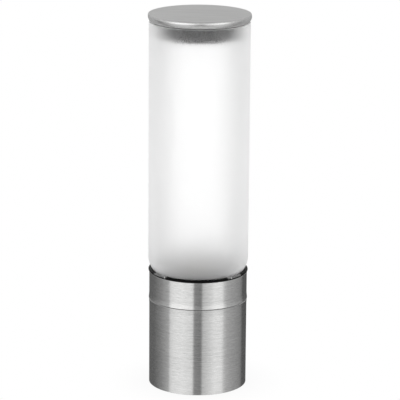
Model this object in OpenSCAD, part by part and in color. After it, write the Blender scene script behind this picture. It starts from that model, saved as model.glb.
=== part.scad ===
// Low bollard light: frosted glass cylinder on a two-piece stainless pedestal, with a steel cap.
// Units are millimetres. The origin is the centre of the ground face, +Z is up, and the front faces -Y.

/* [Overall] */
// Height of the cap's top face above the ground
total_h = 480; // [420:1:520]
// Outer diameter of the cap at its widest
cap_d = 130; // [129.6:0.1:131]
// Outer diameter of the glass cylinder
glass_d = 127.4; // [127.2:0.1:127.8]
// Outer diameter of the lower sleeve
sleeve_d = 124.6; // [124.4:0.1:125]

/* [Pedestal] */
// Height of the lower sleeve
lower_sleeve_h = 112.2; // [100:0.1:150]
// Height of the upper sleeve
upper_sleeve_h = 35.2; // [35:0.1:38]
// Gap between the two sleeves, seen as a dark line
seam_gap = 0.6; // [0.3:0.1:1]
// How far each sleeve's edge flares out at the seam
seam_flare = 0.65; // [0.2:0.05:0.8]
// Wall thickness of both sleeves
sleeve_wall = 1.5; // [1.2:0.1:1.5]
// Circle on which the three ground anchor holes lie
anchor_pcd = 92; // [90:1:94]
// Diameter of each anchor hole
anchor_d = 6.5; // [5:0.1:7]

/* [Glass] */
// Wall thickness of the glass
glass_wall = 4; // [3:0.1:4]
// Outer radius of the rounded shoulder at the bottom of the glass
shoulder_r = 28; // [28:0.1:28.2]
// Radius of the opening in the bottom of the glass
glass_opening_r = 34; // [33.8:0.1:35]

/* [Collar] */
// Radius of the black bead between the glass and the upper sleeve
bead_r = 1.65; // [1.6:0.05:1.8]
// Azimuth of the sensor windows either side of the front and the back, in degrees
window_az = 49.5; // [45:0.5:54]
// Turn of all four windows about the axis, in degrees
window_turn = -1.5; // [-3:0.5:3]
// Width of each sensor window, in degrees round the collar
window_deg = 22.5; // [20:0.5:24]
// Azimuth of the pin in each sensor window, either side of the front and the back, in degrees
pin_az = 42; // [42:0.5:44]

/* [Cap] */
// Thickness of the cap from its lower edge to its top face
cap_h = 9.2; // [9:0.1:9.4]
// Radius of the cap's rounded top edge
cap_edge_r = 0.8; // [0.6:0.1:1]
// Radius of the cap's rounded lower lip
cap_lip_r = 1; // [0.8:0.1:1]
// Depth of the cap's widest point below its top face
cap_wide = 3.3; // [3.1:0.1:3.5]
// Slope of the cap's side where it meets its rounded top edge, in degrees
cap_lean = 15; // [10:1:20]
// Slope of the cap's side where it meets its rounded lower lip, in degrees
cap_tuck = 40; // [36:1:41]
// Outer radius of the reflector housing that hangs under the cap
housing_r = 53; // [52:0.5:54]
// How far the reflector housing hangs below the cap's lower edge
housing_drop = 19.5; // [19:0.1:28]

/* [Electronics] */
// Radius of the circle of light-emitting diodes
led_circle_r = 14.5; // [13:0.5:16]
// Number of light-emitting diodes
led_count = 12; // [6:1:16]
// Number of cooling fins under the heat sink
fin_count = 14; // [8:1:18]

/* [Hidden] */
$fn = 96;
e = 0.01;          // overrun of a cut past a face
fit = 0.05;        // clearance of a seated part
thirds = [0, 120, 240];
sixths = [60, 180, 300];
cover_azimuths = [30, 150, 270];
window_azimuths = [for (half = [0, 180], side = [-1, 1]) half + side * window_az + window_turn];
pin_azimuths = [for (half = [0, 180], side = [-1, 1]) half + side * pin_az];

// Heights up the pedestal
gasket_t = 1.5;
plate_top = gasket_t + 5;
pad_top = plate_top + 2;
seam_z = lower_sleeve_h;
web_z = seam_z - 12.2;
web_t = 4;
flange_t = 2.65;
spigot_top = seam_z + 15.8;

// Heights in the head
head_z = seam_z + seam_gap;
lock_z = head_z + 9.2;
sleeve_top = head_z + upper_sleeve_h;
cover_z = sleeve_top - 38;
wall_z = sleeve_top - 35.8;
board_z = sleeve_top - 23.6;
board_t = 1.6;
deck_z = sleeve_top - 19.7;
deck_t = 3.5;
deck_top = deck_z + deck_t;
bead_z = sleeve_top + 0.3 + bead_r;
bead_top = bead_z + bead_r;
window_lo = bead_z + 0.1;
roof_lo = bead_z + 0.95;
shoulder_z = sleeve_top + 19.6;
glass_z = shoulder_z - shoulder_r;
core_z = deck_top + 5.15;
clamp_z = glass_z + glass_wall + 1.7;
clamp_t = 3;
led_seat = clamp_z + 1.3;
lens_z = clamp_z + clamp_t + fit;

// Heights in the cap
cap_z = total_h - cap_h;
seal_t = 0.8;
glass_top = cap_z - fit - seal_t - fit;
carrier_z = cap_z + 0.15;
carrier_r = 61;
carrier_top = total_h - 1.7;
housing_z = cap_z - housing_drop;

// Radii
sleeve_r = sleeve_d / 2;
upper_r = sleeve_r + 0.05;
glass_r = glass_d / 2;
cap_r = cap_d / 2;
shoulder_c = glass_r - shoulder_r;
bead_c = glass_r - 0.25 - bead_r;
window_in = bead_c + 0.25;
roof_in = arc_x(shoulder_r, bead_top) + 0.3;
cup_in = shoulder_r + 1.2;
cup_out = shoulder_r + 2.7;
plate_r = sleeve_r - sleeve_wall - 0.4;
ring_r = plate_r - 0.2;
spigot_r = 57.5;
spigot_in = 53.5;
skirt_r = upper_r - sleeve_wall - 0.35;
skirt_in = spigot_r + 0.3;
post_at = 44;
boss_at = 46;
anchor_at = anchor_pcd / 2;
clamp_screw_at = 29.5;
lens_screw_at = 28.6;
led_screw_at = 20;
cover_screw_at = 47.5;
dial_at = 38;
dial_az = 24;
grommet_y = 18;
driver_y = -22;
earth_xy = [-27, 4];
terminal_y = -14;
terminal_screw_x = 17;
driver_screw_x = 24;
board_screw_at = 44;
stud_at = 40;
reflector_screw_at = 30;
lead_at = 25;
lead_spread = 3.5; // degrees
reach = 5;         // a cut's or band's overrun past the bead

// ---- Helpers ----

// Places its children at radius r, at azimuth a from the front; positive a turns towards +X.
module at(a, r, z = 0) {
    rotate([0, 0, a]) translate([0, -r, z]) children();
}

module disc(r, z0, z1) {
    translate([0, 0, z0]) cylinder(r = r, h = z1 - z0);
}

module ring(r_in, r_out, z0, z1) {
    difference() {
        disc(r_out, z0, z1);
        disc(r_in, z0 - 1, z1 + 1);
    }
}

module block(x, y, z0, z1) {
    translate([-x / 2, -y / 2, z0]) cube([x, y, z1 - z0]);
}

// Points along an arc in the plane of a turned profile.
function arc(c, r, a0, a1, n = 16) =
    [for (i = [0 : n]) let (a = a0 + (a1 - a0) * i / n) [c[0] + r * cos(a), c[1] + r * sin(a)]];

// Height on the lower arc of radius r about the shoulder centre, at radius x from the axis.
function arc_z(r, x) = shoulder_z - sqrt(r * r - pow(x - shoulder_c, 2));

// Radius on that arc at height z.
function arc_x(r, z) = shoulder_c + sqrt(r * r - pow(shoulder_z - z, 2));

// Angle on that arc at height z, measured down from level.
function arc_a(r, z) = -asin((shoulder_z - z) / r);

// Pan-head screw with a slot, its head sitting on z and its shank running to z_tip.
module screw(r, head_r, head_h, z, z_tip) {
    up = z > z_tip;
    top = up ? z + head_h : z - head_h;
    difference() {
        union() {
            disc(r, min(z, z_tip), max(z, z_tip));
            disc(head_r, min(z, top), max(z, top));
        }
        translate([-head_r - 1, -0.4, up ? top - head_h * 0.45 : top - 1])
            cube([2 * head_r + 2, 0.8, head_h * 0.45 + 1]);
    }
}

// ---- Pedestal ----

module base_gasket() color("#202020") difference() {
    disc(57, 0, gasket_t);
    for (a = sixths) at(a, anchor_at) disc(anchor_d / 2, -1, gasket_t + 1);
    translate([0, grommet_y, 0]) disc(12.3, -1, gasket_t + 1);
}

module base_plate() color("#b4b6b8") difference() {
    union() {
        disc(plate_r, gasket_t, plate_top);
        ring(plate_r - 2.5, plate_r, plate_top - e, plate_top + 5.5);
        for (a = sixths) at(a, anchor_at) disc(7, plate_top - e, pad_top);
        for (a = thirds) at(a, post_at) disc(7, plate_top - e, pad_top);
    }
    for (a = sixths) at(a, anchor_at) disc(anchor_d / 2, 0, pad_top + 1);
    for (a = thirds) at(a, post_at) disc(2.5, 0, pad_top + 1);
    translate([0, grommet_y, 0]) disc(9, 0, pad_top + 1);
    translate([earth_xy[0], earth_xy[1], 0]) disc(2.05, 0, pad_top + 1);
    for (s = [-1, 1]) translate([s * terminal_screw_x, terminal_y, 0]) disc(1.3, 3, pad_top + 1);
}

module cable_grommet() color("#262626") difference() {
    translate([0, grommet_y, 0]) union() {
        disc(12, 0.1, gasket_t - fit);
        disc(8.95, 0.1, plate_top + 1);
        disc(12, plate_top + fit, plate_top + 3);
        translate([0, 0, plate_top + 3 - e]) cylinder(r1 = 10, r2 = 6.5, h = 4.5);
    }
    translate([0, grommet_y, 0]) disc(4.5, -1, plate_top + 10);
}

module earth_screw() color("#c8b878") translate([earth_xy[0], earth_xy[1], 0])
    screw(2, 3.7, 2.8, plate_top + 0.9, gasket_t + 0.3);

module earth_lug() color("#c0c4c8") translate([earth_xy[0], earth_xy[1], 0]) difference() {
    union() {
        disc(4.6, plate_top + fit, plate_top + 0.85);
        translate([0, -2, plate_top + fit]) cube([11, 4, 0.8]);
    }
    disc(2.15, 0, plate_top + 2);
}

module posts() color("#c9ccd0") for (a = thirds) at(a, post_at) difference() {
    union() {
        disc(2.45, gasket_t + 0.3, pad_top + 1);
        translate([0, 0, pad_top]) cylinder(r = 5.5, h = web_z - pad_top, $fn = 6);
    }
    disc(2.05, web_z - 12, web_z + 1);
}

module post_screws() color("#c9ccd0") for (a = thirds) at(a, post_at)
    screw(2, 3.9, 2.5, web_z + web_t + fit, web_z - 11);

// Tube with a flared top and a turned-in lip at the seam.
module lower_sleeve() color("#bfc1c2") {
    flare = 0.6 * seam_flare;
    rise = 9;
    steps = 6;
    outer = [for (i = [0 : steps]) let (t = i / steps)
        [sleeve_r + flare * t * t, seam_z - 0.4 - rise * (1 - t)]];
    top_r = sleeve_r + flare;
    in_r = sleeve_r - sleeve_wall;
    rotate_extrude() polygon(concat(
        [[in_r, 0], [sleeve_r - 0.3, 0], [sleeve_r, 0.3]],
        outer,
        [[top_r - 0.4, seam_z], [57.2, seam_z], [57.2, seam_z - sleeve_wall],
         [in_r, seam_z - sleeve_wall]]));
}

module pedestal_ring() color("#2c2d2f") difference() {
    union() {
        disc(spigot_in + e, web_z, web_z + web_t);
        rotate_extrude() polygon([[spigot_in, web_z], [56.9, web_z], [56.9, seam_z + fit],
            [ring_r, seam_z + fit], [ring_r, seam_z + fit + flange_t],
            [spigot_r, seam_z + fit + flange_t], [spigot_r, spigot_top - 1],
            [spigot_r - 1, spigot_top], [spigot_in, spigot_top]]);
    }
    block(24.4, 16.4, web_z - 1, web_z + web_t + 1);
    for (a = thirds) at(a, post_at) disc(2.3, web_z - 1, web_z + web_t + 1);
    for (s = [-1, 1]) translate([s * driver_screw_x, driver_y, 0]) disc(1.7, web_z - 1, web_z + web_t + 1);
    for (a = sixths) at(a, 34) disc(5, web_z - 1, web_z + web_t + 1);
}

module terminal_block() color("#e6e4dc") translate([0, terminal_y, 0]) difference() {
    union() {
        block(42, 12, plate_top + fit, plate_top + 5);
        block(28, 18, plate_top + fit, plate_top + 15);
    }
    for (x = [-9, 0, 9]) {
        for (y = [-5, 5]) translate([x, y, 0]) disc(2.2, plate_top + 6, plate_top + 16);
        translate([x, 0, plate_top + 4.5]) rotate([90, 0, 0]) cylinder(r = 1.8, h = 30, center = true);
    }
    for (s = [-1, 1]) translate([s * terminal_screw_x, 0, 0]) disc(1.7, plate_top - 1, plate_top + 6);
}

module terminal_screws() color("#c9a650") translate([0, terminal_y, 0])
    for (x = [-9, 0, 9], y = [-5, 5]) translate([x, y, 0])
        screw(1.4, 2.1, 1.8, plate_top + 9, plate_top + 6.4);

module terminal_mount_screws() color("#c9ccd0")
    for (s = [-1, 1]) translate([s * terminal_screw_x, terminal_y, 0])
        screw(1.25, 2.7, 1.8, plate_top + 5 + fit, plate_top - 3);

module driver() color("#d8dadb") difference() {
    union() {
        translate([0, driver_y, 0]) block(60, 24, web_z - 38, web_z - fit);
        translate([0, driver_y, 0]) block(52, 24.6, web_z - 34, web_z - 12);
    }
    for (s = [-1, 1]) translate([s * driver_screw_x, driver_y, 0]) disc(1.55, web_z - 10, web_z + 1);
}

module driver_screws() color("#c9ccd0") for (s = [-1, 1]) translate([s * driver_screw_x, driver_y, 0])
    screw(1.5, 2.8, 2, web_z + web_t + fit, web_z - 9);

// Supply leads rise from the terminals to the driver, and output leads curve up to the socket.
module pedestal_wires() color("#5a6f8f") {
    bend = 9.65;
    lead_r = 1.1;
    for (x = [-9, 0, 9]) translate([x, terminal_y - 5, 0])
        disc(lead_r, plate_top + 11, web_z - 38);
    for (x = [-6, 0, 6]) translate([x, -bend, web_z - 6]) rotate([90, 0, 90])
        rotate([0, 0, -90]) rotate_extrude(angle = 90) translate([bend, 0]) circle(r = lead_r);
}

module socket_connector() color("#e9e9e6") difference() {
    union() {
        block(24, 16, web_z - 6, web_z + 8);
        block(30, 22, web_z + web_t + fit, web_z + web_t + 1.6);
    }
    block(20, 12, web_z - 4, web_z + 9);
}

module connector_pins() color("#c9a650") for (x = [-6, 0, 6]) translate([x, 0, 0])
    disc(0.9, web_z - 4, web_z + 4);

// ---- Head ----

// Tube whose lower edge flares out over the seam and whose top edge turns in under the collar.
module upper_sleeve() color("#bfc1c2") difference() {
    rise = 8;
    steps = 8;
    flare = [for (i = [0 : steps]) let (t = i / steps)
        [upper_r + seam_flare * pow(1 - t, 2), head_z + 0.3 + rise * t]];
    inner = [for (i = [steps : -1 : 0]) [flare[i][0] - sleeve_wall, flare[i][1]]];
    rotate_extrude() polygon(concat(
        [[upper_r + seam_flare - 0.3, head_z]],
        flare,
        arc([upper_r - 0.5, sleeve_top - 0.5], 0.5, 0, 90, 4),
        [[59.6, sleeve_top], [59.6, sleeve_top - sleeve_wall],
         [upper_r - sleeve_wall, sleeve_top - sleeve_wall]],
        inner,
        [[upper_r + seam_flare - sleeve_wall, head_z]]));
    translate([0, 0, lock_z]) rotate([-90, 0, 0]) cylinder(r = 2.4, h = 70);
}

module chassis() color("#2c2d2f") difference() {
    union() {
        ring(skirt_in, skirt_r, head_z + 3.5, sleeve_top - sleeve_wall - 0.5);
        disc(skirt_in + e, deck_z, deck_top);
        ring(50.6, 52.9, wall_z, deck_z + e);
        for (a = thirds) at(a, clamp_screw_at) disc(4, deck_z, core_z - fit);
        for (a = thirds) at(a, board_screw_at) disc(3, board_z + board_t + fit, deck_z + e);
        for (a = cover_azimuths) at(a, cover_screw_at) disc(3.2, wall_z, deck_z + e);
    }
    disc(26, cover_z, core_z + 1);
    for (a = thirds) at(a, clamp_screw_at) disc(1.3, deck_z - 1, core_z + 1);
    for (a = thirds) at(a, board_screw_at) disc(1.15, board_z, deck_z + 1.5);
    for (a = cover_azimuths) at(a, cover_screw_at) disc(1.25, wall_z - 1, wall_z + 10);
    for (a = sixths) at(a, boss_at) disc(1.7, deck_z - 1, deck_top + 1);
    translate([0, 0, lock_z]) rotate([-90, 0, 0]) cylinder(r = 2.05, h = 70);
}

module head_seal() color("#202020")
    ring(skirt_in + 0.3, ring_r - 0.3, seam_z + 2 * fit + flange_t, head_z + 3.45);

// Cup under the glass with a bead that shows between the glass and the upper sleeve.
module collar() color("#17181a") difference() {
    cup_end = 38;
    flange_z = sleeve_top + fit;
    union() {
        rotate_extrude() polygon(concat(
            arc([bead_c, bead_z], bead_r, 90, -90, 12),
            [[60.6, bead_z - bead_r], [60.6, flange_z]],
            arc([shoulder_c, shoulder_z], cup_out, arc_a(cup_out, flange_z),
                arc_a(cup_out, arc_z(cup_out, cup_end)), 14),
            arc([shoulder_c, shoulder_z], cup_in, arc_a(cup_in, arc_z(cup_in, cup_end)),
                arc_a(cup_in, bead_top), 16)));
        for (a = sixths) at(a, boss_at)
            disc(4, deck_top + 0.1, arc_z(cup_in, boss_at - 4) - 0.1);
    }
    for (a = sixths) at(a, boss_at) disc(1.3, deck_top - 1, deck_top + 5.7);
    for (a = window_azimuths) {
        rotate([0, 0, a - 90 - window_deg / 2 - 0.2]) rotate_extrude(angle = window_deg + 0.4) {
            translate([window_in - fit, window_lo - fit]) square(reach);
            translate([roof_in - fit, roof_lo - fit]) square(reach);
        }
        at(a, window_in - 1) block(5, 2, window_lo - fit, roof_lo);
    }
    for (a = pin_azimuths) lens_pin(a, fit);
}

module collar_screws() color("#c9ccd0") for (a = sixths) at(a, boss_at)
    screw(1.25, 2.7, 1.8, deck_z - fit, deck_top + 5);

// Each window is a smoked strip that carries on the bead's outline and roofs over its detector.
module sensor_lenses() color("#4a4c50") for (a = window_azimuths) difference() {
    rotate([0, 0, a - 90 - window_deg / 2]) rotate_extrude(angle = window_deg) intersection() {
        union() {
            translate([bead_c, bead_z]) circle(r = bead_r - fit);
            translate([roof_in, bead_z]) square([bead_c - roof_in, bead_r - fit]);
        }
        union() {
            translate([window_in, window_lo]) square(reach);
            translate([roof_in, roof_lo]) square(reach);
        }
    }
    for (s = [-1, 1]) at(a + s * window_deg / 6, bead_c + bead_r) block(0.5, 0.7, bead_z - 3, bead_z + 3);
    for (pin = pin_azimuths) lens_pin(pin, fit);
}

module pir_detectors() color("#8a8d90") for (a = window_azimuths) at(a, window_in - 0.95)
    block(4.6, 1.5, window_lo + fit, roof_lo - 2 * fit);

// Domed pin through a window into the collar, or its recess when gap widens it.
module lens_pin(a, gap = 0) at(a, bead_c + 1.1, bead_z + 0.4) {
    sphere(r = 0.85 + gap);
    rotate([-90, 0, 0]) cylinder(r = 0.4 + gap, h = 2.4 + gap);
}

module lens_pins() color("#c9ccd0") for (a = pin_azimuths) lens_pin(a);

// Cylinder with a rounded shoulder that turns in to a flat bottom with a round opening.
module glass() color("#f4f6f6", 0.7) {
    inner = shoulder_r - glass_wall;
    rotate_extrude() polygon(concat(
        arc([shoulder_c, shoulder_z], shoulder_r, -90, 0, 20),
        arc([glass_r - 0.8, glass_top - 0.8], 0.8, 0, 90, 4),
        arc([glass_r - glass_wall + 0.8, glass_top - 0.8], 0.8, 90, 180, 4),
        arc([shoulder_c, shoulder_z], inner, 0, -90, 20),
        [[glass_opening_r, glass_z + glass_wall], [glass_opening_r, glass_z]]));
}

module glass_gasket() color("#17181a") {
    r0 = shoulder_r + fit;
    r1 = cup_in - fit;
    gasket_from = 37.5;
    gasket_to = 55;
    rotate_extrude() polygon(concat(
        arc([shoulder_c, shoulder_z], r1, -gasket_from, -gasket_to, 6),
        arc([shoulder_c, shoulder_z], r0, -gasket_to, -gasket_from, 6)));
}

module clamp_gasket() color("#17181a")
    ring(glass_opening_r + 0.6, 41.5, clamp_z - 0.75, clamp_z - fit);

// Die casting that carries the diodes, clamps the glass and cools itself through radial fins.
module heat_sink() color("#6f7276") difference() {
    union() {
        disc(44, clamp_z, clamp_z + clamp_t);
        disc(32.8, core_z, clamp_z + e);
        disc(6.5, sleeve_top - 29.4, core_z + e);
        for (i = [0 : fin_count - 1]) rotate([0, 0, i * 360 / fin_count])
            translate([0, -0.8, sleeve_top - 29.4]) cube([21.5, 1.6, core_z - sleeve_top + 29.4 + e]);
    }
    disc(26.4, led_seat, clamp_z + clamp_t + 1);
    for (a = thirds) at(a, clamp_screw_at) {
        disc(1.7, core_z - 1, clamp_z + 5);
        disc(3, clamp_z + 1, clamp_z + 5);
    }
    for (a = sixths) at(a, led_screw_at) disc(1.25, led_seat - 8, led_seat + 1);
    for (a = sixths) at(a, lens_screw_at) disc(1.25, clamp_z - 6, clamp_z + 5);
    for (s = [-1, 1]) at(180 + s * lead_spread, lead_at) disc(1.2, core_z - 1, led_seat + 1);
}

module heat_sink_screws() color("#c9ccd0") for (a = thirds) at(a, clamp_screw_at)
    screw(1.25, 2.75, 1.8, clamp_z + 1 + fit, deck_z + 0.4);

module led_board() color("#f2f3f1") difference() {
    disc(26, led_seat + fit, led_seat + 1.6);
    for (a = sixths) at(a, led_screw_at) disc(1.6, led_seat - 1, led_seat + 3);
    for (s = [-1, 1]) at(180 + s * lead_spread, lead_at) disc(1.2, led_seat - 1, led_seat + 3);
}

module led_screws() color("#c9ccd0") for (a = sixths) at(a, led_screw_at)
    screw(1.2, 2.4, 1.2, led_seat + 1.65, led_seat - 7);

module led_chips() color("#f3dc74") for (i = [0 : led_count - 1])
    at((i + 0.5) * 360 / led_count, led_circle_r) block(3.2, 3.2, led_seat + 1.65, led_seat + 2.35);

// Clear domed cover with three screw ears.
module led_lens() color("#dfe6ea", 0.5) {
    base_r = 24.5;
    rise = 7;
    ball_r = (base_r * base_r + rise * rise) / (2 * rise);
    rim_top = lens_z + 1.5;
    difference() {
        union() {
            disc(25.6, lens_z, rim_top);
            for (a = sixths) at(a, lens_screw_at) disc(3.6, lens_z, rim_top);
            intersection() {
                translate([0, 0, rim_top + rise - ball_r]) sphere(r = ball_r);
                disc(30, rim_top - e, rim_top + rise + 1);
            }
        }
        intersection() {
            translate([0, 0, rim_top + rise - ball_r]) sphere(r = ball_r - 1.5);
            disc(22.9, lens_z - 1, rim_top + rise);
        }
        disc(22.9, lens_z - 1, lens_z + 1);
        for (a = sixths) at(a, lens_screw_at) disc(1.6, lens_z - 1, rim_top + 1);
    }
}

module lens_screws() color("#c9ccd0") for (a = sixths) at(a, lens_screw_at)
    screw(1.2, 2.4, 1.3, lens_z + 1.5 + fit, clamp_z - 5);

module sensor_board() color("#2f6b45") difference() {
    ring(23.5, 49.8, board_z, board_z + board_t);
    for (a = thirds) at(a, board_screw_at) disc(1.3, board_z - 1, board_z + 3);
    for (a = cover_azimuths) at(a, cover_screw_at) disc(3.7, board_z - 1, board_z + 3);
}

module board_screws() color("#c9ccd0") for (a = thirds) at(a, board_screw_at)
    screw(1.1, 2.2, 1.4, board_z - fit, deck_z + 1.2);

module relay() color("#24262a") at(90, dial_at) block(18, 10, board_z - 10, board_z - fit);

module capacitors() color("#20304f") for (s = [-1, 1]) at(270 + s * 12, dial_at)
    disc(4, board_z - 10.8, board_z - fit);

module dial_pots() color("#3b62a8") for (s = [-1, 1]) at(s * dial_az, dial_at) difference() {
    block(9.5, 9.5, board_z - 4.8, board_z - fit);
    disc(1.5, board_z - 6, board_z - 1.9);
}

// Knurled trimmer knob with a screwdriver slot in its lower face and a shaft into its potentiometer.
module dial() {
    knob_r = 4.6;
    foot = cover_z - 1.6;
    neck = board_z - 7.4;
    flutes = 12;
    difference() {
        union() {
            disc(knob_r, foot, neck);
            disc(1.44, neck - e, board_z - 2.1);
        }
        for (i = [0 : flutes - 1]) at(i * 360 / flutes, knob_r + 0.25) disc(0.6, foot - 1, neck + 1);
        block(6, 1.1, foot - 1, foot + 1.2);
        at(0, 3) block(1.8, 1.8, foot - 1, foot + 0.6);
    }
}

module time_dial() color("#e0e2e4") at(-dial_az, dial_at) dial();

module lux_dial() color("#e8a33a") at(dial_az, dial_at) dial();

module bottom_cover() color("#35373a") difference() {
    disc(52.9, cover_z, wall_z - 0.1);
    for (s = [-1, 1]) at(s * dial_az, dial_at) disc(5, cover_z - 1, wall_z + 1);
    for (a = cover_azimuths) at(a, cover_screw_at) disc(1.5, cover_z - 1, wall_z + 1);
    block(20, 12, cover_z - 1, wall_z + 1);
}

module cover_screws() color("#c9ccd0") for (a = cover_azimuths) at(a, cover_screw_at)
    screw(1.2, 2.4, 1.35, cover_z - fit, cover_z + 9);

module plug_connector() color("#e9e9e6") difference() {
    union() {
        block(19.4, 11.4, web_z - 2.8, wall_z);
        block(26, 17, wall_z, wall_z + 1.8);
        block(16, 9, wall_z + 1.7, wall_z + 5.2);
    }
    for (x = [-6, 0, 6]) translate([x, 0, 0]) disc(1.1, web_z - 4, web_z + 5.6);
}

// Leads leave the back of the plug level and turn up to the sensor board.
module head_wires() color("#7a4632") {
    bend = 4;
    lead_r = 0.9;
    run_z = wall_z + 3.6;
    far_y = 26;
    for (x = [-4.5, 0, 4.5]) translate([x, 0, 0]) {
        translate([0, 4.5 + fit, run_z]) rotate([-90, 0, 0])
            cylinder(r = lead_r, h = far_y - 4.5 - fit);
        translate([0, far_y, run_z + bend]) rotate([90, 0, 90]) rotate([0, 0, -90])
            rotate_extrude(angle = 90) translate([bend, 0]) circle(r = lead_r);
        translate([0, far_y + bend, 0]) disc(lead_r, run_z + bend, board_z);
    }
}

module led_wires() color("#b03a30") for (s = [-1, 1]) at(180 + s * lead_spread, lead_at)
    disc(0.9, board_z + board_t, led_seat + 1.6);

module lock_screw() color("#9a9ea2") translate([0, 0, lock_z]) rotate([-90, 0, 0])
    difference() {
        disc(1.98, spigot_r + fit, upper_r - 0.3);
        translate([0, 0, upper_r - 2.6]) cylinder(r = 1.15, h = 4, $fn = 6);
    }

// ---- Cap ----

// Pressed lid: a flat top, a crowned side that tucks in below, and three welded studs inside.
module cap() color("#bfc1c2") {
    wall = 1.5;
    steps = 6;
    wide_z = total_h - cap_wide;
    high = total_h - cap_edge_r * (1 - sin(cap_lean)) - wide_z;
    low = wide_z - cap_z - cap_lip_r * (1 - sin(cap_tuck));
    high_crown = tan(cap_lean) * high / 2;
    low_crown = tan(cap_tuck) * low / 2;
    side = [for (i = [-steps : steps]) let (t = i / steps)
        t < 0 ? [cap_r - low_crown * t * t, wide_z + low * t] : [cap_r - high_crown * t * t, wide_z + high * t]];
    lip_c = side[0] + cap_lip_r * [-cos(cap_tuck), sin(cap_tuck)];
    edge_c = side[2 * steps] - cap_edge_r * [cos(cap_lean), sin(cap_lean)];
    rotate_extrude() polygon(concat(
        [[0, total_h - wall], [side[2 * steps - 2][0] - wall, total_h - wall]],
        [for (i = [2 * steps - 3 : -1 : 0]) side[i] - [wall, 0]],
        [[side[0][0] - wall, cap_z]],
        arc(lip_c, cap_lip_r, -90, -cap_tuck, 6),
        [for (i = [1 : 2 * steps - 1]) side[i]],
        arc(edge_c, cap_edge_r, cap_lean, 90, 6),
        [[0, total_h]]));
    for (a = thirds) at(a, stud_at) disc(1.95, cap_z + 0.5, total_h - wall + e);
}

module cap_seal() color("#26272a") rotate_extrude() polygon([
    [56.8, carrier_z - fit], [56.8, cap_z - 3.2], [58, cap_z - 3.2], [58, cap_z - 5],
    [58.8, cap_z - 5], [59.55, cap_z - 3.8], [59.55, glass_top + fit],
    [carrier_r - 0.2, glass_top + fit], [carrier_r - 0.2, carrier_z - fit]]);

module cap_carrier() color("#e4e6e6") difference() {
    disc(carrier_r, carrier_z, carrier_top);
    ring(48, 56, carrier_z - 1, carrier_z + 3.4);
    for (a = thirds) at(a, stud_at) {
        disc(2.15, carrier_z - 1, carrier_top + 1);
        translate([0, 0, carrier_z - 1]) cylinder(r = 4.3, h = 4.15, $fn = 6);
    }
    for (a = sixths) at(a, reflector_screw_at) disc(1.25, carrier_z - 1, carrier_z + 4.6);
}

module cap_nuts() color("#c9ccd0") for (a = thirds) at(a, stud_at) difference() {
    translate([0, 0, carrier_z + 0.1]) cylinder(r = 4.1, h = 3, $fn = 6);
    disc(2, carrier_z - 1, carrier_z + 5);
}

// Dark cup that hangs inside the glass and hides the reflector's edge.
module reflector_housing() color("#3a3c3f") difference() {
    disc(housing_r, housing_z, carrier_z - fit);
    disc(housing_r - 1.5, housing_z + 0.8, carrier_z - 2);
    disc(housing_r - 2.4, housing_z - 1, housing_z + 1);
    for (a = sixths) at(a, reflector_screw_at) disc(1.6, carrier_z - 3, carrier_z + 1);
}

// Spun dish whose central cone throws the upward light out to the glass.
module reflector() color("#d9dcde") {
    lip_z = housing_z + 0.85;
    rim = housing_r - 1.65;
    t = 1.2;
    rotate_extrude() polygon([[0, lip_z + 1], [22, lip_z + 10], [rim - 3, lip_z], [rim, lip_z],
        [rim, lip_z + t], [rim - 3 + 0.5, lip_z + t], [22, lip_z + 10 + t + 0.2], [0, lip_z + 1 + t]]);
}

module reflector_screws() color("#c9ccd0") for (a = sixths) at(a, reflector_screw_at)
    screw(1.2, 2.7, 1.8, carrier_z - 2 - fit, carrier_z + 4.2);

// ---- Nodes ----

base_gasket();
base_plate();
cable_grommet();
earth_screw();
earth_lug();
posts();
post_screws();
lower_sleeve();
pedestal_ring();
terminal_block();
terminal_screws();
terminal_mount_screws();
driver();
driver_screws();
pedestal_wires();
socket_connector();
connector_pins();
upper_sleeve();
chassis();
head_seal();
collar();
collar_screws();
sensor_lenses();
lens_pins();
pir_detectors();
glass();
glass_gasket();
clamp_gasket();
heat_sink();
heat_sink_screws();
led_board();
led_screws();
led_chips();
led_lens();
lens_screws();
sensor_board();
board_screws();
relay();
capacitors();
dial_pots();
time_dial();
lux_dial();
bottom_cover();
cover_screws();
plug_connector();
head_wires();
led_wires();
lock_screw();
cap();
cap_seal();
cap_carrier();
cap_nuts();
reflector_housing();
reflector();
reflector_screws();
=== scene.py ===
import math

import bpy
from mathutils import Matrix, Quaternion, Vector


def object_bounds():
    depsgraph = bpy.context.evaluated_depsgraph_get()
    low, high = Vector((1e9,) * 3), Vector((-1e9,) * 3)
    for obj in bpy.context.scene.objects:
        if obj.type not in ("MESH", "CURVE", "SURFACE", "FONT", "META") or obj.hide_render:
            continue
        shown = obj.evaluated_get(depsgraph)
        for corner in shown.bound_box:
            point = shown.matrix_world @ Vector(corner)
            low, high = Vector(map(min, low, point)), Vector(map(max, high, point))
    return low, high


# A bollard light. Its shapes are the CAD nodes' own: this script gives each its finish, and sets up
# the studio, the floor and the camera.

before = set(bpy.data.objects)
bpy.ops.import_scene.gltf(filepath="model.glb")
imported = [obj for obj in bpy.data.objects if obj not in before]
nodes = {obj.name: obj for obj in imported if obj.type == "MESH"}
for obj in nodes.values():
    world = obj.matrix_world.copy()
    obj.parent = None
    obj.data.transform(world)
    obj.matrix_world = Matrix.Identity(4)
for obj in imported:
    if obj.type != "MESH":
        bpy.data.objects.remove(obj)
cad_low, cad_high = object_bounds()

MM = 0.001
HEIGHT = cad_high.z - cad_low.z


# ---- Node helpers ----

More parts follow.
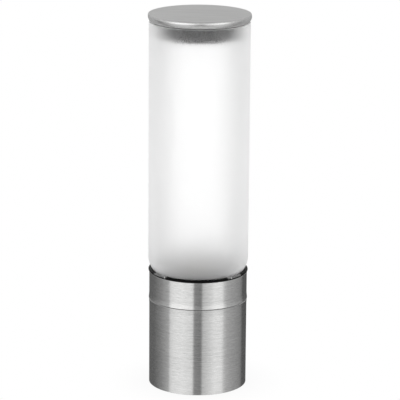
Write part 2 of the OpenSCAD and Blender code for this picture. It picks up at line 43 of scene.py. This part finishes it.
class Shader:
    """A node tree being built. add() makes a node, and a socket given as an input value is linked."""

    def __init__(self, name, world=False):
        blocks = bpy.data.worlds if world else bpy.data.materials
        self.block = blocks.new(name)
        self.block.use_nodes = True
        self.tree = self.block.node_tree
        self.tree.nodes.clear()
        self.out = self.add("ShaderNodeOutputWorld" if world else "ShaderNodeOutputMaterial")

    def add(self, kind, inputs=None, **settings):
        node = self.tree.nodes.new(kind)
        for key, value in settings.items():
            setattr(node, key, value)
        for key, value in (inputs or {}).items():
            self.put(node.inputs[key], value)
        return node

    def put(self, socket, value):
        if isinstance(value, bpy.types.NodeSocket):
            self.tree.links.new(value, socket)
        else:
            socket.default_value = value

    def surface(self, socket):
        """Ends the tree with a shader, and returns the material or world."""
        self.tree.links.new(socket, self.out.inputs["Surface"])
        return self.block

    def math(self, operation, a, b=0.0, c=0.0, clamp=False):
        node = self.add("ShaderNodeMath", {0: a, 1: b, 2: c}, operation=operation, use_clamp=clamp)
        return node.outputs[0]

    def ramp(self, value, low, high, to_low=0.0, to_high=1.0, smooth=True):
        """value from low to high becomes to_low to to_high, held flat outside."""
        kind = "SMOOTHSTEP" if smooth else "LINEAR"
        given = {"Value": value, "From Min": low, "From Max": high, "To Min": to_low, "To Max": to_high}
        return self.add("ShaderNodeMapRange", given, interpolation_type=kind).outputs["Result"]

    def spread(self, noise, to_low, to_high, smooth=True):
        """Noise, which mostly lies from 0.3 to 0.7, spread from to_low to to_high."""
        return self.ramp(noise, 0.3, 0.7, to_low, to_high, smooth)

    def stops(self, value, points):
        """value read off a line through points, each a place and a level under 2, held flat outside."""
        low = points[0][0]
        span = points[-1][0] - low
        node = self.add("ShaderNodeValToRGB", {"Fac": self.ramp(value, low, low + span, smooth=False)})
        line = node.color_ramp.elements
        while len(line) < len(points):
            line.new(0.5)
        for stop, (place, level) in zip(line, points):
            stop.position = (place - low) / span
        for stop, (place, level) in zip(line, points):
            stop.color = (level / 2, level / 2, level / 2, 1.0)
        return self.math("MULTIPLY", node.outputs["Color"], 2.0)

    def lerp(self, factor, a, b):
        """Two numbers mixed."""
        return self.add("ShaderNodeMix", {"Factor": factor, 2: a, 3: b}).outputs[0]

    def weighted(self, *shares):
        """The sum of numbers, each times its share."""
        total = 0.0
        for value, share in shares:
            total = self.math("ADD", total, self.math("MULTIPLY", value, share))
        return total

    def place(self):
        """The point in the part's own frame, so that a pattern moves with its piece."""
        return self.add("ShaderNodeTexCoord").outputs["Object"]

    def stretch(self, scale):
        """The point with each axis scaled, in periods per metre."""
        given = {0: self.place(), 1: scale}
        return self.add("ShaderNodeVectorMath", given, operation="MULTIPLY").outputs[0]

    def noise(self, scale, detail=2.0, rough=0.5):
        """Noise from 0 to 1 with its own number of periods per metre along each axis."""
        given = {"Vector": self.stretch(scale), "Scale": 1.0, "Detail": detail, "Roughness": rough}
        return self.add("ShaderNodeTexNoise", given).outputs["Fac"]

    def cells(self, per_metre):
        """Distance from the middle of the nearest cell, in cells."""
        given = {"Vector": self.place(), "Scale": per_metre}
        return self.add("ShaderNodeTexVoronoi", given, feature="F1").outputs["Distance"]

    def axes(self):
        """The point's X, Y and Z."""
        return self.add("ShaderNodeSeparateXYZ", {0: self.place()}).outputs

    def edge_on(self):
        """0 where a surface faces the eye, 1 where it is seen edge on."""
        return self.add("ShaderNodeLayerWeight", {"Blend": 0.5}).outputs["Facing"]

    def backfacing(self):
        """1 where a surface is seen from behind."""
        return self.add("ShaderNodeNewGeometry").outputs["Backfacing"]

    def grey(self, value):
        """A number as a colour."""
        given = {"Red": value, "Green": value, "Blue": value}
        return self.add("ShaderNodeCombineColor", given).outputs["Color"]

    def tint(self, colour, amount):
        """A colour or a colour's socket multiplied by a number's."""
        given = {0: colour, 3: amount}
        return self.add("ShaderNodeVectorMath", given, operation="SCALE").outputs[0]

    def blend(self, factor, a, b):
        """Two colours mixed."""
        node = self.add("ShaderNodeMix", {"Factor": factor}, data_type="RGBA")
        self.put(node.inputs[6], a)
        self.put(node.inputs[7], b)
        return node.outputs[2]

    def bump(self, height, strength, depth_mm):
        """A normal from a height of 0 to 1 that stands for depth_mm."""
        given = {"Height": height, "Strength": strength, "Distance": depth_mm * MM}
        return self.add("ShaderNodeBump", given).outputs["Normal"]

    def mix(self, factor, a, b):
        """Two shaders mixed."""
        return self.add("ShaderNodeMixShader", {0: factor, 1: a, 2: b}).outputs[0]


def principled(shader, **inputs):
    """A Principled shader, its inputs named in lower case with underscores."""
    named = {key.replace("_", " ").title().replace("Ior", "IOR"): value for key, value in inputs.items()}
    return shader.add("ShaderNodeBsdfPrincipled", named).outputs["BSDF"]


# ---- Materials ----

# Noise scales are in periods per metre along X, Y and Z. Colours and tones are linear.

# On the cap: how upright a normal is where it starts and ends counting as up, the top's roughness
# and stretch, the quarter turn of the side's stretch, and the painted sheen, a grey matt layer that
# stands in for reflected light, which the side takes on where it is seen edge on.
TOP_FROM = 0.97
TOP_TO = 0.995
TOP_ROUGHNESS = 0.3
TOP_STRETCH = 0.3
QUARTER_TURN = 0.25
PAINTED_SHEEN_GREY = 0.42
PAINTED_SHEEN_MOST = 0.8


def brushed_steel(name, colour, roughness, stretch, flat_top=False):
    """Brushed round the axis on the sides, and straight across a flat top.

    stretch draws reflections out up and down. With a flat top, the sides blur them sideways instead."""
    s = Shader(name)
    fine = s.noise((40, 40, 2600), detail=3.0, rough=0.6)
    long = s.noise((12, 12, 700), detail=2.0)
    dashes = s.noise((150, 150, 1900), detail=2.0, rough=0.6)
    streak = s.weighted((fine, 0.35), (long, 0.15), (dashes, 0.5))
    tangent = s.add("ShaderNodeCombineXYZ", {"Z": 1.0}).outputs[0]
    rough = s.spread(streak, roughness - 0.03, roughness + 0.03, smooth=False)
    turn = 0.0
    if flat_top:
        facing = s.add("ShaderNodeSeparateXYZ", {0: s.add("ShaderNodeNewGeometry").outputs["Normal"]})
        up = s.ramp(facing.outputs["Z"], TOP_FROM, TOP_TO)
        across = s.noise((22, 1500, 60), detail=3.0, rough=0.6)
        streak = s.lerp(up, streak, across)
        given = {"Factor": up, 4: (0, 0, 1), 5: (0, 1, 0)}
        tangent = s.add("ShaderNodeMix", given, data_type="VECTOR").outputs[1]
        rough = s.lerp(up, rough, TOP_ROUGHNESS)
        stretch = s.lerp(up, stretch, TOP_STRETCH)
        turn = s.lerp(up, QUARTER_TURN, 0.0)
    blotch = s.noise((9, 9, 16), detail=1.0)
    shade = s.spread(streak, 0.79, 1.21, smooth=False)
    shade = s.math("ADD", shade, s.spread(blotch, -0.03, 0.03))
    bsdf = principled(s, base_color=s.tint(colour, shade), metallic=1.0, roughness=rough,
                      anisotropic=stretch, anisotropic_rotation=turn, tangent=tangent,
                      normal=s.bump(streak, 0.2, 0.02))
    if flat_top:
        # Painted sheen: a grey matt layer mixed into the cap's side where it is seen edge on, standing in
        # for reflected light.
        haze = s.ramp(s.edge_on(), 0.3, 0.6, 0.0, PAINTED_SHEEN_MOST)
        haze = s.math("MULTIPLY", haze, s.math("SUBTRACT", 1.0, up))
        grey = s.grey(s.math("MULTIPLY", shade, PAINTED_SHEEN_GREY))
        painted_sheen_layer = s.add("ShaderNodeBsdfDiffuse", {"Color": grey})
        bsdf = s.mix(haze, bsdf, painted_sheen_layer.outputs[0])
    return s.surface(bsdf)


# How pale the etched skin is, by millimetres up from the glass's foot, with painted shade that darkens it
# towards the foot and a little towards the top.
SKIN_TONE_WITH_PAINTED_SHADE = [(5.4, 0.72), (25.4, 0.78), (40.4, 0.86), (60.4, 0.92), (160.4, 0.95), (330.4, 0.9)]
# Milk in the skin where it faces the eye and where it is seen edge on, and its share of gloss.
LEAST_MILK = 0.06
MOST_MILK = 0.66
SKIN_GLOSS = 0.03

# Millimetres up from the housing's lower edge over which the grain grows, how pale its palest
# specks are, and the least milk it shows in.
GRAIN_OVER = (-3.3, 5.7)
SPECK_MOST = 0.75
GRAIN_MILK = 0.18

# How much milkier the skin is across the housing's lower edge, which it softens: by millimetres up
# from it, times a factor by how edge on the skin is seen, most beside the housing and none at the
# glass's outline.
SOFT_EDGE = [(-5.3, 0.0), (-1.3, 0.22), (4.2, 0.26), (6.7, 0.12), (10.2, 0.0)]
SOFT_SIDES = [(0.03, 0.8), (0.08, 1.3), (0.16, 1.2), (0.35, 0.0)]


def up_from_foot(s, name):
    """Millimetres up from the lowest point of a CAD node."""
    foot = min(vertex.co.z for vertex in nodes[name].data.vertices)
    return s.math("DIVIDE", s.math("SUBTRACT", s.axes()["Z"], foot), MM)


def frosted_glass(name):
    """Satin glass: rough clear glass under an etched skin, milkier the more it is seen edge on.

    Against the dark housing under the cap the skin shows its grain."""
    s = Shader(name)
    grain = s.noise((650, 650, 650), detail=1.0, rough=0.6)
    patch = s.noise((9, 9, 5), detail=1.0)
    rough = s.math("ADD", s.spread(grain, 0.48, 0.56), s.spread(patch, -0.02, 0.02))
    normal = s.bump(grain, 0.35, 0.05)
    given = {"Color": (0.99, 0.99, 0.99, 1.0), "Roughness": rough, "IOR": 1.46, "Normal": normal}
    entering = s.add("ShaderNodeBsdfRefraction", given, distribution="GGX")
    within = s.add("ShaderNodeBsdfGlass", given)
    gloss = s.add("ShaderNodeBsdfGlossy", {"Roughness": 0.4, "Normal": normal})
    up_glass = up_from_foot(s, "glass")
    up_housing = up_from_foot(s, "reflector_housing")
    edge_on = s.edge_on()
    outside = s.math("SUBTRACT", 1.0, s.backfacing())
    facing = s.ramp(edge_on, 0.06, 0.26, 1.0, 0.0)
    grainy = s.math("MULTIPLY", s.ramp(up_housing, *GRAIN_OVER), facing)
    speck = s.ramp(grain, 0.42, 0.58, 0.0, SPECK_MOST, smooth=False)
    # The skin's colour: its paleness with painted shade, turned to grain where it lies over the housing.
    pale = s.lerp(grainy, s.stops(up_glass, SKIN_TONE_WITH_PAINTED_SHADE), speck)
    skin = s.add("ShaderNodeBsdfDiffuse", {"Color": s.grey(pale), "Normal": normal})
    milk = s.ramp(edge_on, 0.08, 0.75, LEAST_MILK, MOST_MILK)
    milk = s.math("MAXIMUM", milk, s.math("MULTIPLY", grainy, GRAIN_MILK))
    soften = s.math("MULTIPLY", s.stops(up_housing, SOFT_EDGE), s.stops(edge_on, SOFT_SIDES))
    milk = s.math("ADD", milk, soften, clamp=True)
    milk = s.math("MULTIPLY", milk, outside)
    body = s.mix(outside, within.outputs[0], entering.outputs[0])
    body = s.mix(s.math("MULTIPLY", outside, SKIN_GLOSS), body, gloss.outputs[0])
    return s.surface(s.mix(milk, body, skin.outputs[0]))


def moulded_plastic(name, colour, roughness=0.45, grain_per_m=2600, bump=0.2, sheen=0.5):
    """Fine spark-eroded grain with slight changes of gloss."""
    s = Shader(name)
    grain = s.noise((grain_per_m,) * 3, detail=2.0)
    patch = s.noise((40, 40, 40), detail=2.0)
    shade = s.math("ADD", s.spread(grain, 0.93, 1.07), s.spread(patch, -0.04, 0.04))
    rough = s.spread(patch, roughness - 0.05, roughness + 0.05)
    rough = s.math("ADD", rough, s.spread(grain, -0.04, 0.04))
    bsdf = principled(s, base_color=s.tint(colour, shade), roughness=rough, specular_ior_level=sheen,
                      normal=s.bump(grain, bump, 0.03))
    return s.surface(bsdf)


def rubber(name, colour):
    """Dull rubber with fine pores and a little pale dust."""
    s = Shader(name)
    dust = s.noise((160, 160, 160), detail=4.0, rough=0.6)
    pores = s.noise((3200, 3200, 3200), detail=1.0)
    shade = s.ramp(dust, 0.45, 0.75, 0.9, 1.5)
    bsdf = principled(s, base_color=s.tint(colour, shade), roughness=s.spread(dust, 0.62, 0.8),
                      normal=s.bump(pores, 0.3, 0.03))
    return s.surface(bsdf)


def cast_metal(name, colour, roughness=0.5):
    """Die-cast skin: fine pitting and flow marks."""
    s = Shader(name)
    pits = s.cells(1500)
    flow = s.noise((60, 60, 25), detail=3.0)
    shade = s.math("MULTIPLY", s.spread(flow, 0.9, 1.06), s.ramp(pits, 0.0, 0.4, 0.92, 1.0))
    bsdf = principled(s, base_color=s.tint(colour, shade), metallic=1.0, normal=s.bump(pits, 0.3, 0.04),
                      roughness=s.spread(flow, roughness - 0.06, roughness + 0.08))
    return s.surface(bsdf)


def turned_metal(name, colour, roughness=0.25, pitch_per_m=2500):
    """Fine tool marks, as on a turned, spun or plated part."""
    s = Shader(name)
    round_per_m = 0.3 * pitch_per_m
    marks = s.noise((round_per_m, round_per_m, pitch_per_m), detail=2.0)
    smudge = s.noise((110, 110, 110), detail=3.0)
    shade = s.math("MULTIPLY", s.spread(marks, 0.95, 1.04), s.ramp(smudge, 0.35, 0.7, 0.93, 1.03))
    bsdf = principled(s, base_color=s.tint(colour, shade), metallic=1.0, normal=s.bump(marks, 0.12, 0.01),
                      roughness=s.spread(smudge, roughness - 0.05, roughness + 0.08))
    return s.surface(bsdf)


# On a circuit board: the size of the fields in which tracks run one way or the other, half of the
# tracks' spacing, how dark the mask is between them, and the pads, their radius in cells.
FIELD = (2.2 * MM, 2.2 * MM, 4 * MM)
HALF_SPACING_MM = 0.55
BETWEEN_TRACKS = 0.72
PADS_PER_M = 230
PAD_RADIUS = 0.13


def circuit_board(name, mask, copper):
    """Solder mask over a pattern of copper tracks, with small bare pads."""
    s = Shader(name)
    field = s.add("ShaderNodeVectorMath", {0: s.place(), 1: FIELD}, operation="SNAP").outputs[0]
    lane = s.add("ShaderNodeTexWhiteNoise", {"Vector": field}).outputs["Value"]
    axes = s.axes()
    along_x = s.math("PINGPONG", s.math("MULTIPLY", axes["X"], 1 / MM), HALF_SPACING_MM)
    along_y = s.math("PINGPONG", s.math("MULTIPLY", axes["Y"], 1 / MM), HALF_SPACING_MM)
    track = s.lerp(s.math("GREATER_THAN", lane, 0.5), along_x, along_y)
    raised = s.ramp(track, 0.2, 0.3)
    grain = s.noise((900, 900, 900), detail=2.0)
    tone = s.blend(raised, (*[BETWEEN_TRACKS * c for c in mask], 1), (*mask, 1))
    pads = s.math("LESS_THAN", s.cells(PADS_PER_M), PAD_RADIUS)
    tone = s.blend(pads, tone, (*copper, 1))
    bsdf = principled(s, base_color=tone, metallic=s.math("MULTIPLY", pads, 0.9), coat_weight=0.3,
                      roughness=s.spread(grain, 0.26, 0.42), normal=s.bump(raised, 0.3, 0.04))
    return s.surface(bsdf)


def smoked_lens(name):
    """Grey plastic that lets infrared through, with fine vertical ribs behind a glossy face."""
    s = Shader(name)
    axes = s.axes()
    turn = s.math("ARCTAN2", axes["Y"], axes["X"])
    ribs_per_radian = 80.0
    rib = s.math("PINGPONG", s.math("MULTIPLY", turn, ribs_per_radian), 0.5)
    cloud = s.noise((300, 300, 300), detail=2.0)
    shade = s.math("MULTIPLY", s.ramp(rib, 0.05, 0.45, 0.7, 1.2), s.spread(cloud, 0.85, 1.15))
    smoke = (0.125, 0.125, 0.125)
    bsdf = principled(s, base_color=s.tint(smoke, shade), roughness=0.22, specular_ior_level=0.6,
                      coat_weight=0.6, coat_roughness=0.08, normal=s.bump(rib, 0.15, 0.08))
    return s.surface(bsdf)


def clear_acrylic(name):
    """Clear plastic with a faint, uneven haze."""
    s = Shader(name)
    haze = s.noise((60, 60, 60), detail=2.0)
    body = s.add("ShaderNodeBsdfGlass", {"Color": (0.86, 0.86, 0.86, 1), "IOR": 1.49,
                                         "Roughness": s.spread(haze, 0.04, 0.12)})
    return s.surface(body.outputs[0])


def phosphor(name):
    """Yellow phosphor in a clear dome, framed by its white package."""
    s = Shader(name)
    grain = s.noise((2500, 2500, 2500), detail=2.0)
    yellow = (0.92, 0.74, 0.16)
    tone = s.tint(yellow, s.spread(grain, 0.85, 1.08))
    bsdf = principled(s, base_color=tone, roughness=0.3, coat_weight=0.7, coat_roughness=0.1,
                      normal=s.bump(grain, 0.15, 0.02))
    return s.surface(bsdf)


def lead_insulation(name, split_x, left, middle, right):
    """Insulation whose colour changes from lead to lead across X, at split_x either side of 0."""
    s = Shader(name)
    x = s.axes()["X"]
    grain = s.noise((700, 700, 90), detail=2.0)
    tone = s.blend(s.math("GREATER_THAN", x, -split_x), (*left, 1), (*middle, 1))
    tone = s.blend(s.math("GREATER_THAN", x, split_x), tone, (*right, 1))
    tone = s.tint(tone, s.spread(grain, 0.9, 1.08))
    bsdf = principled(s, base_color=tone, roughness=s.spread(grain, 0.4, 0.52))
    return s.surface(bsdf)


STEEL = (0.62, 0.62, 0.615)
FASTENER = (0.6, 0.61, 0.63)

# Each finish, and the CAD nodes that have it.
FINISHES = [
    (brushed_steel("cap_steel", STEEL, 0.25, 0.85, flat_top=True), ["cap"]),
    (brushed_steel("sleeve_steel", STEEL, 0.21, 1.0), ["upper_sleeve", "lower_sleeve"]),
    (frosted_glass("satin_glass"), ["glass"]),
    (moulded_plastic("collar_black", (0.003, 0.003, 0.003), 0.34, sheen=0.05), ["collar"]),
    (moulded_plastic("chassis_black", (0.02, 0.02, 0.021), 0.5), ["chassis", "pedestal_ring",
     "bottom_cover"]),
    (moulded_plastic("housing_grey", (0.012, 0.012, 0.013), 0.55, sheen=0.25), ["reflector_housing"]),
    (moulded_plastic("part_white", (0.8, 0.8, 0.77), 0.42), ["terminal_block", "socket_connector",
     "plug_connector", "cap_carrier"]),
    (moulded_plastic("driver_grey", (0.62, 0.63, 0.64), 0.4), ["driver"]),
    (moulded_plastic("dial_white", (0.75, 0.76, 0.76), 0.38), ["time_dial"]),
    (moulded_plastic("dial_orange", (0.8, 0.3, 0.05), 0.38), ["lux_dial"]),
    (moulded_plastic("trimmer_blue", (0.04, 0.13, 0.42), 0.4), ["dial_pots"]),
    (moulded_plastic("relay_dark", (0.02, 0.022, 0.026), 0.32), ["relay"]),
    (turned_metal("capacitor_sleeve", (0.1, 0.13, 0.25), 0.4), ["capacitors"]),
    (rubber("seal_rubber", (0.018, 0.018, 0.018)), ["base_gasket", "cable_grommet", "head_seal",
     "glass_gasket", "clamp_gasket", "cap_seal"]),
    (cast_metal("cast_aluminium", (0.5, 0.51, 0.52)), ["base_plate"]),
    (cast_metal("heat_sink_casting", (0.3, 0.3, 0.3), 0.46), ["heat_sink"]),
    (turned_metal("spun_aluminium", (0.82, 0.83, 0.84), 0.16), ["reflector"]),
    (turned_metal("post_steel", (0.7, 0.71, 0.72), 0.3), ["posts"]),
    (turned_metal("fastener_steel", FASTENER, 0.3), ["post_screws", "terminal_mount_screws",
     "driver_screws", "collar_screws", "heat_sink_screws", "led_screws", "lens_screws", "board_screws",
     "cover_screws", "cap_nuts", "reflector_screws", "earth_lug"]),
    (turned_metal("lens_pin_steel", (0.8, 0.8, 0.8), 0.28), ["lens_pins"]),
    (turned_metal("lock_screw_steel", (0.33, 0.33, 0.34), 0.34), ["lock_screw"]),
    (turned_metal("detector_can", (0.42, 0.42, 0.43), 0.3), ["pir_detectors"]),
    (turned_metal("brass", (0.78, 0.58, 0.26), 0.26), ["terminal_screws", "connector_pins", "earth_screw"]),
    (circuit_board("board_green", (0.02, 0.16, 0.06), (0.75, 0.6, 0.35)), ["sensor_board"]),
    (circuit_board("board_white", (0.6, 0.6, 0.59), (0.6, 0.6, 0.58)), ["led_board"]),
    (smoked_lens("smoked_lens"), ["sensor_lenses"]),
    (clear_acrylic("clear_acrylic"), ["led_lens"]),
    (phosphor("led_phosphor"), ["led_chips"]),
    (lead_insulation("supply_leads", 0.004, (0.14, 0.05, 0.02), (0.04, 0.2, 0.05), (0.02, 0.08, 0.35)),
     ["pedestal_wires"]),
    (lead_insulation("board_leads", 0.003, (0.02, 0.02, 0.02), (0.5, 0.04, 0.03), (0.6, 0.6, 0.58)),
     ["head_wires"]),
    (lead_insulation("lamp_leads", 0.0, (0.02, 0.02, 0.02), (0.02, 0.02, 0.02), (0.5, 0.03, 0.02)),
     ["led_wires"]),
]


def dress():
    """Gives every carried-over CAD node its finish."""
    for finish, names in FINISHES:
        for name in names:
            mesh = nodes[name].data
            mesh.materials.clear()
            mesh.materials.append(finish)


# ---- Studio ----

# What polished metal sees round the horizon, by degrees to the right of the camera: a softbox
# either side of a dark gap, a dim fill beside each, and a dark room behind. Each pair is an angle
# and a level.
ROOM = [(-160, 0.13), (-125, 0.14), (-99, 0.26), (-79, 0.46), (-72, 0.55), (-69, 0.86), (-58, 1.0),
        (-38, 1.08), (-19, 0.96), (-12, 0.9), (-8, 0.23), (8, 0.16), (12, 0.6), (24, 0.77), (41, 1.03),
        (57, 1.0), (61, 0.94), (65, 0.62), (87, 0.46), (126, 0.27), (129, 0.1), (160, 0.1)]
# The same from above and from below, where the gap closes.
ABOVE = [(-150, 0.64), (-120, 0.73), (-75, 0.78), (0, 0.73), (75, 0.73), (120, 0.69), (150, 0.64)]
BELOW = [(-130, 0.2), (-95, 0.4), (-70, 0.8), (0, 0.72), (65, 0.75), (95, 0.4), (130, 0.2)]
# How bright the softboxes are by elevation: strongest round the horizon.
SOFTBOX = [(-50, 0.8), (-30, 0.9), (-18, 1.0), (-10, 1.15), (-5, 1.85), (5, 1.85), (12, 1.0)]

# How far round the softboxes reach, as the angles where their strength starts and ends falling.
FRONT_TO = (66, 72)
# The elevations over which ROOM turns into BELOW, and those over which ABOVE darkens.
BELOW_OVER = (-26, -44)
DARKENS_OVER = (25, 60)
ZENITH = 0.72
# Where ROOM starts turning into ABOVE, beside and in the softboxes, and over how many degrees.
ABOVE_FROM_SIDE = -9
ABOVE_FROM_FRONT = 2
ABOVE_OVER = 14

# What matt surfaces see straight below, and how much brighter it all is through the glass.
SOFT_BELOW = 0.86
BACKLIGHT = 1.36


def direction_bands(s, azimuth, elevation):
    """The studio as polished metal mirrors it, from azimuth and elevation in degrees."""
    front = s.ramp(s.math("ABSOLUTE", azimuth), *FRONT_TO, 1.0, 0.0)
    strength = s.lerp(front, 1.0, s.stops(elevation, SOFTBOX))
    level = s.math("MULTIPLY", s.stops(azimuth, ROOM), strength)
    level = s.lerp(s.ramp(elevation, *BELOW_OVER), level, s.stops(azimuth, BELOW))
    above = s.math("MULTIPLY", s.stops(azimuth, ABOVE), s.ramp(elevation, *DARKENS_OVER, 1.0, ZENITH))
    lowest = s.lerp(front, ABOVE_FROM_SIDE, ABOVE_FROM_FRONT)
    return s.lerp(s.ramp(elevation, lowest, s.math("ADD", lowest, ABOVE_OVER)), level, above)


def azimuth_of(s, vector, sign):
    """A vector's azimuth in degrees, from -Y towards +X, or from +Y towards -X with sign -1."""
    axes = s.add("ShaderNodeSeparateXYZ", {0: vector}).outputs
    x = s.math("MULTIPLY", axes["X"], sign)
    y = s.math("MULTIPLY", axes["Y"], -sign)
    return s.math("DEGREES", s.math("ARCTAN2", x, y))


def studio_world():
    """White to the camera, soft and even to matt and clear surfaces, and softboxes to polished ones.

    The softboxes stay with the camera, as in a studio where the light is turned on the spot."""
    s = Shader("studio", world=True)
    direction = s.add("ShaderNodeTexCoord").outputs["Generated"]
    ahead = s.add("ShaderNodeVectorTransform", {0: (0, 0, 1)}, vector_type="VECTOR",
                  convert_from="CAMERA", convert_to="WORLD").outputs[0]
    azimuth = s.math("SUBTRACT", azimuth_of(s, direction, 1), azimuth_of(s, ahead, -1))
    azimuth = s.math("WRAP", azimuth, 180, -180)
    height = s.add("ShaderNodeSeparateXYZ", {0: direction}).outputs["Z"]
    elevation = s.math("DEGREES", s.math("ARCSINE", height))
    path = s.add("ShaderNodeLightPath").outputs
    through = path["Is Transmission Ray"]
    soft = s.ramp(elevation, -90, 60, SOFT_BELOW, 1.0)
    soft = s.math("MULTIPLY", soft, s.ramp(through, 0.0, 1.0, 1.0, BACKLIGHT, smooth=False))
    mirrored = s.math("MULTIPLY", path["Is Glossy Ray"], s.math("SUBTRACT", 1.0, through))
    light = s.lerp(mirrored, soft, direction_bands(s, azimuth, elevation))
    light = s.lerp(path["Is Camera Ray"], light, 1.0)
    s.surface(s.add("ShaderNodeBackground", {"Color": s.grey(light), "Strength": 1.0}).outputs[0])
    s.block.cycles.sampling_method = "NONE"
    bpy.context.scene.world = s.block


def floor():
    """A wide pale floor with a faint shade where the light stands. It isn't seen from below."""
    half = 20 * HEIGHT
    mesh = bpy.data.meshes.new("floor")
    corners = [(-half, -half, 0), (half, -half, 0), (half, half, 0), (-half, half, 0)]
    mesh.from_pydata(corners, [], [(0, 1, 2, 3)])
    plane = bpy.data.objects.new("floor", mesh)
    clearance = 0.1 * MM
    plane.location.z = cad_low.z - clearance
    bpy.context.scene.collection.objects.link(plane)
    s = Shader("floor")
    reach = 60 * MM
    openness = s.add("ShaderNodeAmbientOcclusion", {"Distance": reach}, samples=8).outputs["AO"]
    bright = s.ramp(openness, 0.3, 1.0, 0.93, 1.0, smooth=False)
    glow = s.add("ShaderNodeEmission", {"Color": s.grey(bright)}).outputs[0]
    clear = s.add("ShaderNodeBsdfTransparent").outputs[0]
    mesh.materials.append(s.surface(s.mix(s.backfacing(), glow, clear)))
    for kind in ("glossy", "diffuse", "transmission", "shadow", "volume_scatter"):
        setattr(plane, "visible_" + kind, False)


# The photo's camera: a long lens, how far in front and how far up it is as shares of the light's
# height, how far right of the axis it looks, and its roll.
LENS_MM = 221.8
SENSOR_MM = 36.0
FAR_END = 60.0
IN_FRONT = 6.318
UP = 2.109
LOOKS_RIGHT = 1.8 * MM
ROLL = math.radians(0.43)


def camera():
    """Looks down on the light's middle, about 14 degrees from level."""
    data = bpy.data.cameras.new("camera")
    data.lens = LENS_MM
    data.sensor_width = SENSOR_MM
    data.clip_end = FAR_END
    eye = bpy.data.objects.new("camera", data)
    bpy.context.scene.collection.objects.link(eye)
    eye.location = (0.0, -IN_FRONT * HEIGHT, UP * HEIGHT)
    target = Vector((LOOKS_RIGHT, 0.0, HEIGHT / 2))
    look = (target - eye.location).to_track_quat("-Z", "Y")
    eye.rotation_mode = "QUATERNION"
    eye.rotation_quaternion = look @ Quaternion((0, 0, 1), ROLL)
    bpy.context.scene.camera = eye


dress()
studio_world()
floor()
camera()
bpy.context.scene.view_settings.view_transform = "Standard"
